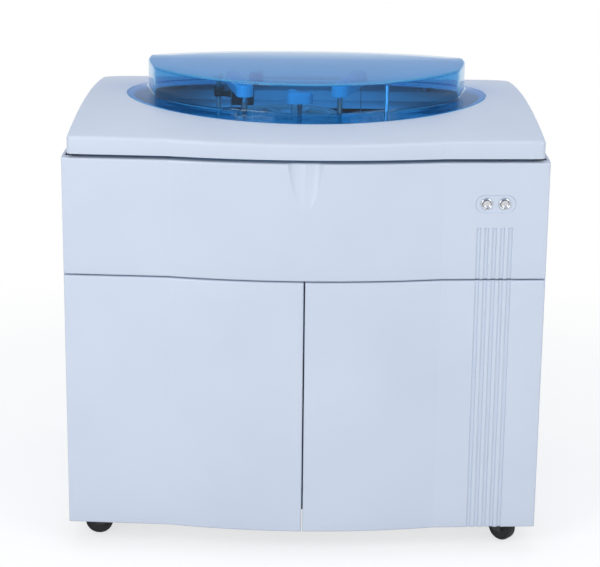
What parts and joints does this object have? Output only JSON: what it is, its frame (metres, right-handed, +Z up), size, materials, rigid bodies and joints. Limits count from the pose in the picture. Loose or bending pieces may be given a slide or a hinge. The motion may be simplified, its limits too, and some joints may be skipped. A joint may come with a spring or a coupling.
{
  "type": "chemistry analyzer",
  "caption": "Floor-standing chemistry analyzer: a bowed white cabinet on casters with doors, push-buttons, a lift-up hood and a hinged clear blue lid over arms and disks.",
  "frame": {"origin": "on the floor, under the middle of the machine's box", "axes": "+X to the right as seen from the front, +Y to the back, +Z up"},
  "size_m": [1.04, 0.856, 1.026],
  "materials": {
    "frame_paint": "satin powder coat",
    "zinc_steel": "bright zinc plate",
    "white_paint": "fine satin powder coat",
    "white_moulding": "satin moulded",
    "black_plastic": "fine moulded grain",
    "black_rubber": "matt",
    "pale_rubber": "matt",
    "chrome": "polished",
    "blue_clear": "clear tinted, polished",
    "cover_blue": "smooth moulded",
    "deck_paint": "satin",
    "disk_grey": "machined",
    "clear_plastic": "clear moulded",
    "bottle_white": "blow moulded",
    "cap_blue": "ribbed moulded",
    "box_grey": "satin"
  },
  "bodies": {
    "root": {"base_frame": "frame_paint", "cabinet_frame": "frame_paint", "floor_pan": "zinc_steel", "left_side_panel": "white_paint", "right_side_panel": "white_paint", "back_panel": "white_paint", "front_panel": "white_moulding", "door_hinges": "zinc_steel", "door_catches": "black_plastic", "caster_stems": "zinc_steel", "button_bezels": "chrome", "hood_hinges": "zinc_steel", "hood_buffers": "black_rubber", "work_deck": "deck_paint", "deck_tray": "deck_paint", "tray_spacers": "zinc_steel", "disk_wells": "deck_paint", "rinse_cups": "disk_grey", "arm_guides": "zinc_steel", "incubation_bath": "zinc_steel", "wash_column": "zinc_steel", "tubing_post": "chrome", "tanks": "bottle_white", "tank_caps": "cap_blue", "syringe_pumps": "zinc_steel", "control_box": "box_grey", "fan_frame": "black_plastic", "mains_inlet": "black_plastic"},
    "left_door": {"left_door": "white_moulding"},
    "right_door": {"right_door": "white_moulding"},
    "hood": {"hood": "white_moulding", "lid_pads": "pale_rubber", "lid_hinges": "white_moulding"},
    "lid": {"blue_lid": "blue_clear"},
    "left_button": {"left_button": "chrome"},
    "right_button": {"right_button": "chrome"},
    "reaction_disk": {"reaction_disk": "disk_grey", "cuvettes": "clear_plastic"},
    "sample_disk": {"sample_disk": "disk_grey", "sample_tubes": "clear_plastic"},
    "reagent_disk": {"reagent_disk": "disk_grey", "reagent_bottles": "bottle_white"},
    "sample_lift": {"sample_arm_shaft": "chrome"},
    "sample_arm": {"sample_arm_cover": "cover_blue", "sample_probe": "chrome"},
    "reagent_lift": {"reagent_arm_shaft": "chrome"},
    "reagent_arm": {"reagent_arm_cover": "cover_blue", "reagent_probe": "chrome"},
    "mixer_lift": {"mixer_shaft": "chrome"},
    "mixer_arm": {"mixer_cover": "cover_blue"},
    "mixer_paddle": {"mixer_paddle": "chrome"},
    "wash_head": {"wash_head": "black_plastic", "wash_needles": "chrome"},
    "sample_plunger": {"sample_plunger": "chrome"},
    "reagent_plunger": {"reagent_plunger": "chrome"},
    "fan_rotor": {"fan_rotor": "black_plastic"},
    "mains_switch": {"mains_switch": "black_plastic"},
    "front_left_fork": {"front_left_fork": "black_plastic"},
    "front_left_wheel": {"front_left_wheel": "black_rubber"},
    "front_right_fork": {"front_right_fork": "black_plastic"},
    "front_right_wheel": {"front_right_wheel": "black_rubber"},
    "rear_left_fork": {"rear_left_fork": "black_plastic"},
    "rear_left_wheel": {"rear_left_wheel": "black_rubber"},
    "rear_right_fork": {"rear_right_fork": "black_plastic"},
    "rear_right_wheel": {"rear_right_wheel": "black_rubber"}
  },
  "joints": [
    {"name": "left_door_hinge", "type": "hinge", "parent": "root", "child": "left_door", "pos_m": [-0.516, -0.36, 0.345], "axis": [0, 0, -1], "range_deg": [0, 100]},
    {"name": "right_door_hinge", "type": "hinge", "parent": "root", "child": "right_door", "pos_m": [0.516, -0.36, 0.345], "axis": [0, 0, 1], "range_deg": [0, 100]},
    {"name": "hood_hinge", "type": "hinge", "parent": "root", "child": "hood", "pos_m": [0, 0.414, 0.902], "axis": [-1, 0, 0], "range_deg": [0, 60]},
    {"name": "lid_hinge", "type": "hinge", "parent": "hood", "child": "lid", "pos_m": [0, 0.404, 0.944], "axis": [-1, 0, 0], "range_deg": [0, 75]},
    {"name": "left_button_press", "type": "slide", "parent": "root", "child": "left_button", "axis": [-0.0572, 0.9984, 0], "range_m": [0, 0.0025], "stiffness_N_per_m": 600, "springref_m": -0.002},
    {"name": "right_button_press", "type": "slide", "parent": "root", "child": "right_button", "axis": [-0.0572, 0.9984, 0], "range_m": [0, 0.0025], "stiffness_N_per_m": 600, "springref_m": -0.002},
    {"name": "front_left_swivel", "type": "hinge", "parent": "root", "child": "front_left_fork", "pos_m": [-0.437, -0.294, 0.074], "axis": [0, 0, 1], "continuous": true},
    {"name": "front_left_roll", "type": "hinge", "parent": "front_left_fork", "child": "front_left_wheel", "pos_m": [-0.461, -0.294, 0.031], "axis": [0, 1, 0], "continuous": true},
    {"name": "front_right_swivel", "type": "hinge", "parent": "root", "child": "front_right_fork", "pos_m": [0.437, -0.294, 0.074], "axis": [0, 0, 1], "continuous": true},
    {"name": "front_right_roll", "type": "hinge", "parent": "front_right_fork", "child": "front_right_wheel", "pos_m": [0.45538, -0.30943, 0.031], "axis": [0.6428, 0.766, 0], "continuous": true},
    {"name": "rear_left_swivel", "type": "hinge", "parent": "root", "child": "rear_left_fork", "pos_m": [-0.437, 0.353, 0.074], "axis": [0, 0, 1], "continuous": true},
    {"name": "rear_left_roll", "type": "hinge", "parent": "rear_left_fork", "child": "rear_left_wheel", "pos_m": [-0.461, 0.353, 0.031], "axis": [0, 1, 0], "continuous": true},
    {"name": "rear_right_swivel", "type": "hinge", "parent": "root", "child": "rear_right_fork", "pos_m": [0.437, 0.353, 0.074], "axis": [0, 0, 1], "continuous": true},
    {"name": "rear_right_roll", "type": "hinge", "parent": "rear_right_fork", "child": "rear_right_wheel", "pos_m": [0.461, 0.353, 0.031], "axis": [0, 1, 0], "continuous": true},
    {"name": "reaction_spin", "type": "hinge", "parent": "root", "child": "reaction_disk", "pos_m": [-0.045, 0.15, 0.882], "axis": [0, 0, 1], "continuous": true},
    {"name": "sample_spin", "type": "hinge", "parent": "root", "child": "sample_disk", "pos_m": [0.25, 0.09, 0.882], "axis": [0, 0, 1], "continuous": true},
    {"name": "reagent_spin", "type": "hinge", "parent": "root", "child": "reagent_disk", "pos_m": [-0.285, 0.045, 0.882], "axis": [0, 0, 1], "continuous": true},
    {"name": "sample_lift", "type": "slide", "parent": "root", "child": "sample_lift", "axis": [0, 0, -1], "range_m": [0, 0.03]},
    {"name": "reagent_lift", "type": "slide", "parent": "root", "child": "reagent_lift", "axis": [0, 0, -1], "range_m": [0, 0.03]},
    {"name": "mixer_lift", "type": "slide", "parent": "root", "child": "mixer_lift", "axis": [0, 0, -1], "range_m": [0, 0.02]},
    {"name": "sample_swing", "type": "hinge", "parent": "sample_lift", "child": "sample_arm", "pos_m": [0.075, -0.104, 0.978], "axis": [0, 0, 1], "range_deg": [-37.25, 25.3]},
    {"name": "reagent_swing", "type": "hinge", "parent": "reagent_lift", "child": "reagent_arm", "pos_m": [-0.138, -0.118, 0.978], "axis": [0, 0, 1], "range_deg": [-28.07, 43.35]},
    {"name": "mixer_turn", "type": "hinge", "parent": "mixer_lift", "child": "mixer_arm", "pos_m": [-0.015, -0.04, 0.95], "axis": [0, 0, 1], "range_deg": [0, 45]},
    {"name": "paddle_spin", "type": "hinge", "parent": "mixer_arm", "child": "mixer_paddle", "pos_m": [-0.0335, 0.0406, 0.95], "axis": [0, 0, 1], "continuous": true},
    {"name": "wash_lift", "type": "slide", "parent": "root", "child": "wash_head", "axis": [0, 0, -1], "range_m": [0, 0.018]},
    {"name": "sample_plunger_stroke", "type": "slide", "parent": "root", "child": "sample_plunger", "axis": [0, 0, 1], "range_m": [0, 0.05]},
    {"name": "reagent_plunger_stroke", "type": "slide", "parent": "root", "child": "reagent_plunger", "axis": [0, 0, 1], "range_m": [0, 0.05]},
    {"name": "fan_spin", "type": "hinge", "parent": "root", "child": "fan_rotor", "pos_m": [-0.25, 0.418, 0.619], "axis": [0, 1, 0], "continuous": true},
    {"name": "mains_rocker", "type": "hinge", "parent": "root", "child": "mains_switch", "pos_m": [0.43, 0.42, 0.204], "axis": [1, 0, 0], "range_deg": [0, 16]}
  ]
}
